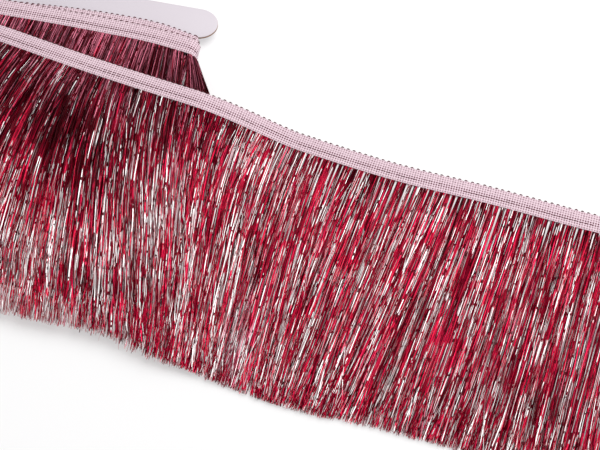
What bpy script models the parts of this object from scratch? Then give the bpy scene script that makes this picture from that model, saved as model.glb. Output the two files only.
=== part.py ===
"""Metallic fringe trim, wound on a card, with its last run lying off the card to the right.

The trim is one narrow woven heading tape with long foil strands hanging from its lower edge. It goes
twice round the waist of a bone-shaped card, and then the last run comes off the front of the card,
drops over its right-hand edge and lies on the table.

Metres, +Z up. The sizes are first laid out from the middle of the card, with the table at z = 0 and
+X along the loose run, and the whole part is then moved so that the middle of its footprint is the
origin.
"""

import math

import bmesh
import bpy
import numpy as np

MM = 0.001

# The trim
TRIM_WIDTH = 150 * MM
TAPE_WIDTH = 11 * MM
TAPE_THICKNESS = 1.0 * MM
STRIP_WIDTH = 1.2 * MM
CLEARANCE = 0.3 * MM
LOCK_LENGTH = TRIM_WIDTH - TAPE_WIDTH - CLEARANCE - STRIP_WIDTH
TAPE_COLOUR = (0.68, 0.50, 0.56)

# The card
CARD_COLOUR = (0.70, 0.64, 0.70)
CARD_TURN = math.radians(6)
CARD_THICKNESS = 1.5 * MM
CARD_BOTTOM = 5.0 * MM
CARD_HALF_HEIGHT = 96 * MM
FLANGE_HEIGHT = 20.5 * MM
FLANGE_HALF_LENGTH = 97.6 * MM
FLANGE_END_LENGTH = 12 * MM
WAIST_HALF_WIDTH = 86 * MM
END_STEPS = 12

# Heights of the middle of each wound layer, from the table up
BACK_OUTER = 0.9 * MM
BACK_INNER = 3.4 * MM
FRONT_INNER = 7.9 * MM
FRONT_OUTER = 10.4 * MM
WOUND_LOCK_THICKNESS = 1.8 * MM

# The two turns across the front of the card: how high the middle of each heading lies above the
# middle of the card, at places along the card
TURN_COLUMNS = ("along", "inner_turn", "outer_turn")
TURNS = (
    (-86 * MM, 69.0 * MM, 69.0 * MM),
    (-25 * MM, 71.7 * MM, 70.0 * MM),
    (30 * MM, 75.1 * MM, 70.0 * MM),
    (66 * MM, 74.2 * MM, 68.8 * MM),
    (86 * MM, 70.2 * MM, 66.4 * MM),
)
INNER_END_ALONG = -70 * MM
RUN_START_HEIGHT = 61.6 * MM
FOLD_SLIP = 3.0 * MM

# The loose run: the middle of its heading on the table plan, from the card's middle
RUN_COLUMNS = ("x", "y")
RUN = (
    (-28 * MM, 48.0 * MM),
    (38 * MM, 43.4 * MM),
    (92 * MM, 41.3 * MM),
    (134 * MM, 40.4 * MM),
    (158 * MM, 39.0 * MM),
    (215 * MM, 37.2 * MM),
    (265 * MM, 39.1 * MM),
    (321 * MM, 39.9 * MM),
    (365 * MM, 41.5 * MM),
)

# How the run lies over the wound card: the underside's height down the card, from its middle
DRAPE_COLUMNS = ("up_card", "underside")
DRAPE = (
    (-115 * MM, 6.0 * MM),
    (-100 * MM, 8.6 * MM),
    (-94 * MM, 8.6 * MM),
    (-80 * MM, 12.2 * MM),
)
SHOULDER_START = 95 * MM
SHOULDER_LENGTH = 68 * MM

# How the run's strands lie, at places along the run: their lean from straight down the page in
# degrees at the root, the middle and the tip, and how much longer they are than the rest
HANG_COLUMNS = ("x", "root", "middle", "tip", "longer")
HANG = (
    (-92 * MM, -4, -4, -4, 7 * MM),
    (-30 * MM, -8, -4, 2, 7 * MM),
    (0 * MM, -8, 2, 10, 7 * MM),
    (20 * MM, -5, 9, 13, 7 * MM),
    (35 * MM, 1, 14, 14, 7 * MM),
    (52 * MM, 7, 19, 17, 6 * MM),
    (68 * MM, 8, 21, 16, 6 * MM),
    (86 * MM, 12, 19, 14, 7 * MM),
    (104 * MM, 4, 17, 12, 6 * MM),
    (120 * MM, 0, 13, 11, 4 * MM),
    (137 * MM, -4, 8, 7, 2.5 * MM),
    (155 * MM, -3, 5, 2, 2 * MM),
    (175 * MM, -3, 3, 5, 2 * MM),
    (190 * MM, -4, 0, 3, 1.5 * MM),
    (210 * MM, -3, -3, -2, 1 * MM),
    (245 * MM, -4, -6, -5, -0.5 * MM),
    (285 * MM, -3, -3, -4, -2 * MM),
    (320 * MM, -3, -2, -1, -2 * MM),
    (365 * MM, -3, -2, 0, -2 * MM),
)
HANG_STEPS = 50

# Locks of strands
RUN_LOCKS = 150
RUN_LOCK_THICKNESS = 1.6 * MM
RUN_STATIONS = (0.06, 0.40, 0.80, 1.0)
RUN_TAPER = (1.0, 1.0, 0.92, 0.72)
LOCK_SHARE = 0.78
RAGGED_END = 3.0 * MM
RAGGED_SEED = 11
WOUND_STATIONS = (0.08, 0.35, 1.0)
WOUND_TAPER = (1.0, 1.0, 0.8)
WOUND_THINNING = (1.0, 1.0, 0.6)
WOUND_LOCK_COLOUR = (0.36, 0.03, 0.07)
RUN_LOCK_COLOUR = (0.42, 0.02, 0.06)
FLARE_SHAPE = (0.3, 1.0, 0.5)
FLARE_LEAST = 0.4
FOLD_DROOP = 0.15
FOLD_LOCK_SHARE = 0.85
FOLD_LENGTH = 124 * MM

# Each stretch of the wound strip, in order from the hidden inner end: the locks on it, how far they
# lean from straight down the page in degrees, their length, how far they flare sideways past the
# card's edge (right is positive), how much their height droops along them, and how far their tips sag
WOUND_COLUMNS = ("stretch", "locks", "degrees", "length", "flare", "droop", "tip_sag")
WOUND = (
    ("inner_front", 14, 2, LOCK_LENGTH, 0, 0, 0),
    ("inner_right_fold", 2, 6, FOLD_LENGTH, 0, FOLD_DROOP, 0),
    ("inner_back", 14, 6, LOCK_LENGTH, 0, 0, 0),
    ("inner_left_fold", 2, 2, FOLD_LENGTH, 0, FOLD_DROOP, 0),
    ("outer_front", 42, 2, LOCK_LENGTH, 0, 0, 1.0 * MM),
    ("outer_right_fold", 5, 6, FOLD_LENGTH, 22 * MM, FOLD_DROOP, 0),
    ("outer_back", 32, 6, LOCK_LENGTH, 0, 0, 0),
    ("outer_left_fold", 5, -4, FOLD_LENGTH, -4 * MM, FOLD_DROOP, 0),
)

FLAT_STEP = 11 * MM
SHOULDER_STEP = 6 * MM
FOLD_STEPS = 6
FINE_STEP = 1.0 * MM


def column(table, columns, name):
    """One named column of a table, as an array."""
    return np.array([row[columns.index(name)] for row in table], float)


def smooth_curve(knots, values, places):
    """A smooth curve through the knots, by cubic pieces with averaged slopes."""
    slopes = np.gradient(values, knots)
    piece = np.clip(np.searchsorted(knots, places) - 1, 0, len(knots) - 2)
    span = knots[piece + 1] - knots[piece]
    t = (places - knots[piece]) / span
    return (
        (2 * t**3 - 3 * t**2 + 1) * values[piece]
        + (t**3 - 2 * t**2 + t) * span * slopes[piece]
        + (3 * t**2 - 2 * t**3) * values[piece + 1]
        + (t**3 - t**2) * span * slopes[piece + 1]
    )


def ease(share):
    """0 to 1 with a level start and end."""
    share = np.clip(share, 0, 1)
    return share * share * (3 - 2 * share)


def on_card(along, up, height):
    """Points given along and up the card, turned to where the card lies."""
    along, up, height = np.broadcast_arrays(along, up, height)
    cosine = math.cos(CARD_TURN)
    sine = math.sin(CARD_TURN)
    return np.stack([along * cosine - up * sine, along * sine + up * cosine, height], axis=-1)


def card_place(points):
    """How far along and up the card each point lies."""
    cosine = math.cos(CARD_TURN)
    sine = math.sin(CARD_TURN)
    along = points[..., 0] * cosine + points[..., 1] * sine
    up = points[..., 1] * cosine - points[..., 0] * sine
    return along, up


def run_underside(points):
    """Height of the underside of the loose run above the table at each point of the plan."""
    along, up = card_place(points)
    knots = column(DRAPE, DRAPE_COLUMNS, "up_card")
    heights = column(DRAPE, DRAPE_COLUMNS, "underside")
    piece = np.clip(np.searchsorted(knots, up) - 1, 0, len(knots) - 2)
    share = ease((up - knots[piece]) / (knots[piece + 1] - knots[piece]))
    on_pack = heights[piece] + share * (heights[piece + 1] - heights[piece])
    return on_pack * (1 - ease((along - SHOULDER_START) / SHOULDER_LENGTH))


class Route:
    """A line through space with an outward direction at each point, read by its own length."""

    def __init__(self):
        self.points = np.empty((0, 3))
        self.outward = np.empty((0, 3))
        self.stretches = {}

    def add(self, name, points, outward):
        first = len(self.points)
        outward = np.broadcast_to(outward, points.shape)
        self.points = np.vstack([self.points, points])
        self.outward = np.vstack([self.outward, outward])
        self.stretches[name] = (first, len(self.points) - 1)

    def finish(self):
        steps = np.linalg.norm(np.diff(self.points, axis=0), axis=1)
        self.length = np.concatenate([[0], np.cumsum(steps)])
        direction = np.gradient(self.points, axis=0)
        self.width = np.cross(self.outward, direction)
        self.width /= np.linalg.norm(self.width, axis=1, keepdims=True)

    def span(self, name):
        first, last = self.stretches[name]
        return self.length[first], self.length[last]

    def at(self, lengths):
        """Point, width direction, outward direction and forward direction at each length."""
        point = np.stack([np.interp(lengths, self.length, c) for c in self.points.T], axis=-1)
        width = np.stack([np.interp(lengths, self.length, c) for c in self.width.T], axis=-1)
        outward = np.stack([np.interp(lengths, self.length, c) for c in self.outward.T], axis=-1)
        width /= np.linalg.norm(width, axis=1, keepdims=True)
        forward = np.cross(width, outward)
        forward /= np.linalg.norm(forward, axis=1, keepdims=True)
        return point, width, np.cross(forward, width), forward


def across_front(start, height, name):
    """One turn across the front of the card, left to right."""
    along = np.arange(start, WAIST_HALF_WIDTH, FINE_STEP)
    knots = column(TURNS, TURN_COLUMNS, "along")
    up = smooth_curve(knots, column(TURNS, TURN_COLUMNS, name), along)
    return on_card(along, up, height)


def across_back(height, right_up, left_up):
    """One turn across the back of the card, right to left."""
    along = np.arange(WAIST_HALF_WIDTH, -WAIST_HALF_WIDTH, -FINE_STEP)
    share = (WAIST_HALF_WIDTH - along) / (2 * WAIST_HALF_WIDTH)
    return on_card(along, right_up + share * (left_up - right_up), height)


def round_edge(side, start_height, end_height, start_up, end_up):
    """A half round about one edge of the card's waist. Side is 1 at the right and -1 at the left."""
    angle = np.linspace(0, math.pi, 4 * FOLD_STEPS + 1)[1:-1]
    up = start_up + (end_up - start_up) * angle / math.pi
    radius = (start_height - end_height) / 2
    middle = (start_height + end_height) / 2
    along = side * (WAIST_HALF_WIDTH + abs(radius) * np.sin(angle))
    outward = on_card(side * np.sin(angle), 0.0, np.sign(radius) * np.cos(angle))
    return on_card(along, up, middle + radius * np.cos(angle)), outward


def loose_run():
    """The heading of the loose run, from the card's left-hand edge to its cut end."""
    start = on_card(-WAIST_HALF_WIDTH, RUN_START_HEIGHT, 0.0)
    knots = np.concatenate([[start[0]], column(RUN, RUN_COLUMNS, "x")])
    across = np.concatenate([[start[1]], column(RUN, RUN_COLUMNS, "y")])
    x = np.arange(knots[0], knots[-1] + FINE_STEP / 2, FINE_STEP)
    points = np.stack([x, smooth_curve(knots, across, x), np.zeros_like(x)], axis=-1)
    points[:, 2] = run_underside(points) + TAPE_THICKNESS / 2
    return points


def trim_route():
    """The middle of the heading tape from its hidden inner end to the cut end of the loose run."""
    up_face = np.array([0.0, 0.0, 1.0])
    inner = column(TURNS, TURN_COLUMNS, "inner_turn")
    outer = column(TURNS, TURN_COLUMNS, "outer_turn")
    inner_back = inner[-1] - FOLD_SLIP
    outer_back = outer[-1] - FOLD_SLIP
    run = loose_run()
    route = Route()
    route.add("inner_front", across_front(INNER_END_ALONG, FRONT_INNER, "inner_turn"), up_face)
    route.add("inner_right_fold", *round_edge(1, FRONT_INNER, BACK_INNER, inner[-1], inner_back))
    route.add("inner_back", across_back(BACK_INNER, inner_back, outer[0]), -up_face)
    route.add("inner_left_fold", *round_edge(-1, BACK_INNER, FRONT_OUTER, outer[0], outer[0]))
    route.add("outer_front", across_front(-WAIST_HALF_WIDTH, FRONT_OUTER, "outer_turn"), up_face)
    route.add("outer_right_fold", *round_edge(1, FRONT_OUTER, BACK_OUTER, outer[-1], outer_back))
    route.add("outer_back", across_back(BACK_OUTER, outer_back, RUN_START_HEIGHT), -up_face)
    route.add("outer_left_fold", *round_edge(-1, BACK_OUTER, run[0, 2], RUN_START_HEIGHT, RUN_START_HEIGHT))
    route.add("run", run, up_face)
    route.finish()
    return route


def new_object(name, points, faces, colour, roughness, metallic):
    """A closed mesh object with its faces turned outward and a material of its own."""
    mesh = bpy.data.meshes.new(name)
    mesh.from_pydata([tuple(p) for p in points], [], faces)
    shape = bmesh.new()
    shape.from_mesh(mesh)
    bmesh.ops.recalc_face_normals(shape, faces=shape.faces[:])
    shape.to_mesh(mesh)
    shape.free()
    obj = bpy.data.objects.new(name, mesh)
    bpy.context.scene.collection.objects.link(obj)
    material = bpy.data.materials.new(name)
    material.use_nodes = True
    shader = material.node_tree.nodes["Principled BSDF"]
    shader.inputs["Base Color"].default_value = (*colour, 1.0)
    shader.inputs["Roughness"].default_value = roughness
    shader.inputs["Metallic"].default_value = metallic
    mesh.materials.append(material)
    return obj


def loop_sides(first, second):
    """The four side faces between two loops of four points."""
    return [(first + i, first + (i + 1) % 4, second + (i + 1) % 4, second + i) for i in range(4)]


def make_card():
    """The bone-shaped card: a waist with a longer round-ended flange above and below."""
    inner_edge = CARD_HALF_HEIGHT - FLANGE_HEIGHT
    flange_middle = CARD_HALF_HEIGHT - FLANGE_HEIGHT / 2
    angle = np.linspace(-math.pi / 2, math.pi / 2, END_STEPS + 1)
    end_along = FLANGE_HALF_LENGTH - FLANGE_END_LENGTH * (1 - np.cos(angle))
    end_up = flange_middle + FLANGE_HEIGHT / 2 * np.sin(angle)
    end_along[0] = WAIST_HALF_WIDTH
    corner = np.array([[WAIST_HALF_WIDTH, inner_edge]])
    upper_right = np.stack([end_along, end_up], axis=-1)
    upper_right = np.vstack([corner, upper_right[1:]])
    upper_left = upper_right[::-1] * (-1, 1)
    lower_left = upper_right * (-1, -1)
    lower_right = upper_right[::-1] * (1, -1)
    outline = np.vstack([upper_right, upper_left, lower_left, lower_right])
    count = len(outline)
    bottom = on_card(outline[:, 0], outline[:, 1], CARD_BOTTOM)
    top = on_card(outline[:, 0], outline[:, 1], CARD_BOTTOM + CARD_THICKNESS)
    faces = [tuple(range(count)), tuple(range(count, 2 * count))]
    faces += [(i, (i + 1) % count, count + (i + 1) % count, count + i) for i in range(count)]
    new_object("winding_card", np.vstack([bottom, top]), faces, CARD_COLOUR, 0.6, 0.0)


def tape_sections(route):
    """Where along the route the tape has a section: close together at the folds and the shoulder."""
    places = [route.length[0]]
    for name in route.stretches:
        start, end = route.span(name)
        if name.endswith("fold"):
            steps = FOLD_STEPS
        else:
            steps = math.ceil((end - start) / (SHOULDER_STEP if name == "run" else FLAT_STEP))
        places.extend(np.linspace(start, end, steps + 1)[1:])
    return np.array(places)


def band_loops(middle, width, outward, breadth):
    """Loops of four points across a flat band as thick as the tape, from its upper face round."""
    half_width = width * breadth / 2
    half_thickness = outward * TAPE_THICKNESS / 2
    return np.stack(
        [
            middle + half_width + half_thickness,
            middle + half_width - half_thickness,
            middle - half_width - half_thickness,
            middle - half_width + half_thickness,
        ],
        axis=1,
    )


def make_heading_tape(route):
    """The woven heading as one continuous flat tape."""
    point, width, outward, _ = route.at(tape_sections(route))
    loops = band_loops(point, width, outward, TAPE_WIDTH)
    faces = [(0, 1, 2, 3), tuple(4 * (len(loops) - 1) + i for i in range(4))]
    for i in range(len(loops) - 1):
        faces += loop_sides(4 * i, 4 * i + 4)
    new_object("heading_tape", loops.reshape(-1, 3), faces, TAPE_COLOUR, 0.8, 0.0)


def lock_cells(start, end, count):
    """Boundaries along a strip that take turns between a gap and a lock, with a gap at both ends."""
    pitch = (end - start) / count
    gap = pitch * (1 - LOCK_SHARE) / 2
    middles = start + pitch * (np.arange(count) + 0.5)
    lock_starts = middles - (pitch / 2 - gap)
    lock_ends = middles + (pitch / 2 - gap)
    return lock_starts, lock_ends


def make_fringe(name, route, lock_starts, lock_ends, ends, lock_loops, colour):
    """A narrow strip below the tape with locks grown out of its lower face.

    lock_loops holds the four points of each lock at each of its stations, root first.
    """
    places = np.concatenate([[ends[0]], np.stack([lock_starts, lock_ends], axis=1).ravel(), [ends[1]]])
    point, width, outward, _ = route.at(places)
    middle = point - width * (TAPE_WIDTH / 2 + CLEARANCE + STRIP_WIDTH / 2)
    loops = band_loops(middle, width, outward, STRIP_WIDTH)
    vertices = [loops.reshape(-1, 3)]
    last = 4 * (len(loops) - 1)
    faces = [(0, 1, 2, 3), (last, last + 1, last + 2, last + 3)]
    next_vertex = 4 * len(loops)
    for i in range(len(loops) - 1):
        sides = loop_sides(4 * i, 4 * i + 4)
        grows = i % 2 == 1
        if grows:
            lower = sides.pop(2)
            stations = lock_loops[i // 2]
            vertices.append(stations.reshape(-1, 3))
            previous = lower
            for station in range(len(stations)):
                current = tuple(next_vertex + 4 * station + corner for corner in range(4))
                for a, b in ((0, 1), (1, 2), (2, 3), (3, 0)):
                    faces.append((previous[a], previous[b], current[b], current[a]))
                previous = current
            faces.append(previous)
            next_vertex += 4 * len(stations)
        faces += sides
    new_object(name, np.vstack(vertices), faces, colour, 0.35, 0.85)


def box_loops(centre, sideways, thickness_way, width, thickness):
    """Four points about each centre, in the order of the strip's lower face."""
    side = sideways * width[..., None] / 2
    rise = thickness_way * thickness[..., None] / 2
    corners = (centre - side - rise, centre - side + rise, centre + side + rise, centre + side - rise)
    return np.stack(corners, axis=-2)


def hang_value(root, name):
    """One column of the table of how the run's strands lie, at each root."""
    return np.interp(root[:, 0], column(HANG, HANG_COLUMNS, "x"), column(HANG, HANG_COLUMNS, name))


def hanging_lines(root, reach):
    """Plan points down each strand of the run. Its lean changes evenly from root to middle to tip."""
    share = np.linspace(0, 1, HANG_STEPS + 1)[:, None]
    knots = [hang_value(root, name) for name in ("root", "middle", "tip")]
    first_half = knots[0] + (knots[1] - knots[0]) * share * 2
    second_half = knots[1] + (knots[2] - knots[1]) * (share * 2 - 1)
    lean = np.radians(np.where(share < 0.5, first_half, second_half)).T
    way = np.stack([np.sin(lean), -np.cos(lean), np.zeros_like(lean)], axis=-1)
    moves = (way[:, 1:] + way[:, :-1]) / 2 * (reach / HANG_STEPS)[:, None, None]
    return root[:, None] + np.pad(np.cumsum(moves, axis=1), ((0, 0), (1, 0), (0, 0)))


def make_run_fringe(route):
    """The locks of the loose run: over the card, down its shoulder and level on the table."""
    start, end = route.span("run")
    start += CLEARANCE
    lock_starts, lock_ends = lock_cells(start, end, RUN_LOCKS)
    point, width, _, _ = route.at((lock_starts + lock_ends) / 2)
    root = point - width * (TAPE_WIDTH / 2 + CLEARANCE + STRIP_WIDTH)
    ragged = RAGGED_END * (0.5 - np.random.default_rng(RAGGED_SEED).random(RUN_LOCKS))
    reach = LOCK_LENGTH + hang_value(root, "longer") + ragged
    stations = np.round(np.array(RUN_STATIONS) * HANG_STEPS).astype(int)
    centres = hanging_lines(root, reach)[:, stations]
    thickness = np.full(centres.shape[:2], RUN_LOCK_THICKNESS)
    thickness[:, 0] = (TAPE_THICKNESS + RUN_LOCK_THICKNESS) / 2
    centres[..., 2] = run_underside(centres) + thickness / 2
    room = np.gradient(centres[..., 0], axis=0)
    lock_width = room * LOCK_SHARE * np.array(RUN_TAPER)
    sideways = np.broadcast_to((1.0, 0.0, 0.0), centres.shape)
    upward = np.broadcast_to((0.0, 0.0, 1.0), centres.shape)
    loops = box_loops(centres, sideways, upward, lock_width, thickness)
    make_fringe("fringe_run", route, lock_starts, lock_ends, (start, end), loops, RUN_LOCK_COLOUR)


def wound_lock_loops(route, stretch, lock_starts, lock_ends):
    """The locks on one stretch of the wound trim: straight down the card, or flared at a fold."""
    point, width, outward, forward = route.at((lock_starts + lock_ends) / 2)
    root = point - width * (TAPE_WIDTH / 2 + CLEARANCE + STRIP_WIDTH)
    lean = math.radians(stretch["degrees"])
    down = np.array([math.sin(lean), -math.cos(lean), 0.0])
    share = np.array(WOUND_STATIONS)
    centres = root[:, None] + down * (stretch["length"] * share)[:, None]
    sideways_turn = np.abs(outward @ on_card(1.0, 0.0, 0.0))
    fan = stretch["flare"] * (FLARE_LEAST + (1 - FLARE_LEAST) * sideways_turn)
    centres += on_card(1.0, 0.0, 0.0) * (fan[:, None] * np.array(FLARE_SHAPE))[..., None]
    centres[..., 2] *= 1 - stretch["droop"] * share
    centres[:, -1, 2] -= stretch["tip_sag"]
    room = (lock_ends - lock_starts)[:, None] * np.array(WOUND_TAPER)
    if stretch["stretch"].endswith("fold"):
        room = room * FOLD_LOCK_SHARE
    thickness = np.broadcast_to(WOUND_LOCK_THICKNESS * np.array(WOUND_THINNING), centres.shape[:2])
    sideways = np.broadcast_to(forward[:, None], centres.shape)
    outward = np.broadcast_to(outward[:, None], centres.shape)
    loops = box_loops(centres, sideways, outward, room, thickness)
    loops[..., 2] += np.maximum(0, -loops[..., 2].min(axis=-1))[..., None]
    return loops


def make_wound_fringe(route):
    """The locks of the two turns on the card, on one strip that follows the whole winding."""
    starts = []
    ends = []
    loops = []
    for row in WOUND:
        stretch = dict(zip(WOUND_COLUMNS, row))
        lock_starts, lock_ends = lock_cells(*route.span(stretch["stretch"]), stretch["locks"])
        starts.append(lock_starts)
        ends.append(lock_ends)
        loops.append(wound_lock_loops(route, stretch, lock_starts, lock_ends))
    starts = np.concatenate(starts)
    ends = np.concatenate(ends)
    strip_ends = (route.length[0], route.span("outer_left_fold")[1])
    make_fringe(
        "fringe_wound", route, starts, ends, strip_ends, np.concatenate(loops), WOUND_LOCK_COLOUR
    )


def centre_on_footprint():
    """Moves the whole part so that the middle of its footprint is the origin."""
    parts = list(bpy.context.scene.collection.objects)
    corners = np.array([vertex.co for part in parts for vertex in part.data.vertices])
    middle = (corners.min(axis=0) + corners.max(axis=0)) / 2
    for part in parts:
        part.location = (-middle[0], -middle[1], 0.0)


def main():
    for obj in list(bpy.data.objects):
        bpy.data.objects.remove(obj)
    route = trim_route()
    make_card()
    make_heading_tape(route)
    make_run_fringe(route)
    make_wound_fringe(route)
    centre_on_footprint()


main()
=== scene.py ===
# %% [markdown]
# # A metallic fringe trim, wound on a card
#
# The real thing is a narrow woven heading tape with long foil strands hanging from its lower edge. It
# has been wound twice round the waist of a bone-shaped card. The last run comes off the front of the
# card, drops over its right-hand edge and lies on the table. The solids that a physics engine needs
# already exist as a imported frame. This lesson dresses them: about thirteen thousand foil strands, a
# woven tape with its stitches and small edge loops, and a paper board.

# %% Load the frame
import math

import bpy
import numpy as np
from mathutils import Matrix, Vector


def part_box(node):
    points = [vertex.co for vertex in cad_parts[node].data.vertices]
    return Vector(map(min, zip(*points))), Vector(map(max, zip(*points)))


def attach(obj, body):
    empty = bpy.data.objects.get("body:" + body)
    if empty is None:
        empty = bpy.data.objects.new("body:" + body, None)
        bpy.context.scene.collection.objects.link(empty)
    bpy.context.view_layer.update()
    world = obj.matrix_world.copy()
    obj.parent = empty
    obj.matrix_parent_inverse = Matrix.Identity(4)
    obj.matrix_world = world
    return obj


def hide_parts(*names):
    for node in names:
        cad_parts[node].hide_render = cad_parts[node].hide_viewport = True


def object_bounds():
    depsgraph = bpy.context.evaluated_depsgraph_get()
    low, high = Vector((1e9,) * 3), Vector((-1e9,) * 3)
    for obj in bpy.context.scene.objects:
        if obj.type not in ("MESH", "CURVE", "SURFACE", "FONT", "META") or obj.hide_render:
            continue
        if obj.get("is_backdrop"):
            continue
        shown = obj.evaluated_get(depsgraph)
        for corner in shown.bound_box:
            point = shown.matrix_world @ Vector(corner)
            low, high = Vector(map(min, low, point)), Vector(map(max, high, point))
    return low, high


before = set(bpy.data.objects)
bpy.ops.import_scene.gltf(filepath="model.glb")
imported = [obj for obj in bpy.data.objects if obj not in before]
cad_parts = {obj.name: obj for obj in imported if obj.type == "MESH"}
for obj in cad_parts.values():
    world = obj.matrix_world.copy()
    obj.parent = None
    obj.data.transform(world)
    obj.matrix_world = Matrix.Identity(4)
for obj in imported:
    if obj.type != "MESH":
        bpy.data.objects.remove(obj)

cad_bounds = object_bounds()
print("solids in the frame:", sorted(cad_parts))

# %% [markdown]
# ## Where things are
#
# The trim is laid out from the middle of the card, with the table at height zero and +X along the
# loose run. The middle of the card is read from the frame, so everything that follows lands on the
# solids without fitting. Lengths are in metres, and MM turns millimetres into them.

# %% The middle of the card
MM = 0.001

card_low, card_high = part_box("winding_card")
card_middle = np.array([(card_low.x + card_high.x) / 2, (card_low.y + card_high.y) / 2, 0.0])
print("middle of the card:", card_middle.round(4))

# %% [markdown]
# ## The sizes of the trim
#
# These are the sizes that the solids were made with, so that the strands and the tape follow the same
# folds as their solids. The tables are in millimetres and degrees.

# %% Sizes of the card and the trim
TAPE_WIDTH = 11 * MM
TAPE_THICKNESS = 1.0 * MM
STRIP_WIDTH = 1.2 * MM
CLEARANCE = 0.3 * MM
LOCK_LENGTH = 150 * MM - TAPE_WIDTH - CLEARANCE - STRIP_WIDTH

CARD_TURN = math.radians(6)
CARD_THICKNESS = 1.5 * MM
CARD_BOTTOM = 5.0 * MM
CARD_HALF_HEIGHT = 96 * MM
FLANGE_HEIGHT = 20.5 * MM
FLANGE_HALF_LENGTH = 97.6 * MM
FLANGE_END_LENGTH = 12 * MM
WAIST_HALF_WIDTH = 86 * MM

BACK_OUTER = 0.9 * MM
BACK_INNER = 3.4 * MM
FRONT_INNER = 7.9 * MM
FRONT_OUTER = 10.4 * MM
WOUND_THICKNESS = 1.8 * MM

TURN_COLUMNS = ("along", "inner_turn", "outer_turn")
TURNS = ((-86, 69.0, 69.0), (-25, 71.7, 70.0), (30, 75.1, 70.0), (66, 74.2, 68.8), (86, 70.2, 66.4))
INNER_END_ALONG = -70 * MM
RUN_START_UP = 61.6 * MM
FOLD_SLIP = 3.0 * MM

RUN_COLUMNS = ("x", "y")
RUN = (
    (-28, 48.0),
    (38, 43.4),
    (92, 41.3),
    (134, 40.4),
    (158, 39.0),
    (215, 37.2),
    (265, 39.1),
    (321, 39.9),
    (365, 41.5),
)

DRAPE_COLUMNS = ("up_card", "underside")
DRAPE = ((-115, 6.0), (-100, 8.6), (-94, 8.6), (-80, 12.2))
SHOULDER_START = 95 * MM
SHOULDER_LENGTH = 68 * MM

# How the run's strands lie: their lean at root, middle and tip, and how much longer they are
HANG_COLUMNS = ("x", "root", "middle", "tip", "longer")
HANG = (
    (-92, -4, -4, -4, 7),
    (-30, -8, -4, 2, 8),
    (0, -8, 2, 10, 9),
    (20, -5, 9, 13, 9),
    (35, 1, 14, 14, 8),
    (52, 7, 19, 17, 6),
    (68, 8, 21, 16, 6),
    (86, 12, 19, 14, 7),
    (104, 4, 17, 12, 6),
    (120, 0, 13, 11, 4),
    (137, -4, 8, 7, 2.5),
    (155, -3, 5, 2, 2),
    (175, -3, 3, 5, 2),
    (190, -4, 0, 3, 1.5),
    (210, -3, -3, -2, 1),
    (245, -4, -6, -5, -0.5),
    (285, -3, -3, -4, -2),
    (320, -3, -2, -1, -2),
    (365, -3, -2, 0, -2),
)

# %% [markdown]
# ## Helpers for curves
#
# The trim follows one line through space: round the card twice and then off to the right. The line
# keeps, at each point, which way its outer face looks. A tape, a stitch or a strand is then placed by
# one number, how far along the trim it sits.

# %% Curves and card places
def column(table, columns, name, scale=MM):
    """One named column of a table, as an array. A column of degrees has a scale of 1."""
    return np.array([row[columns.index(name)] for row in table], float) * scale


def smooth_curve(knots, values, places):
    """A smooth curve through the knots, by cubic pieces with averaged slopes."""
    slopes = np.gradient(values, knots)
    piece = np.clip(np.searchsorted(knots, places) - 1, 0, len(knots) - 2)
    span = knots[piece + 1] - knots[piece]
    t = (places - knots[piece]) / span
    return (
        (2 * t**3 - 3 * t**2 + 1) * values[piece]
        + (t**3 - 2 * t**2 + t) * span * slopes[piece]
        + (3 * t**2 - 2 * t**3) * values[piece + 1]
        + (t**3 - t**2) * span * slopes[piece + 1]
    )


def ease(share):
    """0 to 1 with a level start and end."""
    share = np.clip(share, 0, 1)
    return share * share * (3 - 2 * share)


def unit(vectors):
    """The same directions with length one."""
    return vectors / np.linalg.norm(vectors, axis=-1, keepdims=True)


def on_card(along, up, height):
    """Points given along and up the card, turned to where the card lies."""
    along, up, height = np.broadcast_arrays(along, up, height)
    cosine = math.cos(CARD_TURN)
    sine = math.sin(CARD_TURN)
    return np.stack([along * cosine - up * sine, along * sine + up * cosine, height], axis=-1)


def card_place(points):
    """How far along and up the card each point lies."""
    cosine = math.cos(CARD_TURN)
    sine = math.sin(CARD_TURN)
    along = points[..., 0] * cosine + points[..., 1] * sine
    up = points[..., 1] * cosine - points[..., 0] * sine
    return along, up


def run_underside(points):
    """Height of the underside of the loose run above the table at each point of the plan."""
    along, up = card_place(points)
    knots = column(DRAPE, DRAPE_COLUMNS, "up_card")
    heights = column(DRAPE, DRAPE_COLUMNS, "underside")
    piece = np.clip(np.searchsorted(knots, up) - 1, 0, len(knots) - 2)
    share = ease((up - knots[piece]) / (knots[piece + 1] - knots[piece]))
    on_pack = heights[piece] + share * (heights[piece + 1] - heights[piece])
    return on_pack * (1 - ease((along - SHOULDER_START) / SHOULDER_LENGTH))


# %% The line that the trim follows
FINE_STEP = 1.0 * MM
FOLD_STEPS = 24
FACE_UP = np.array([0.0, 0.0, 1.0])


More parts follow.
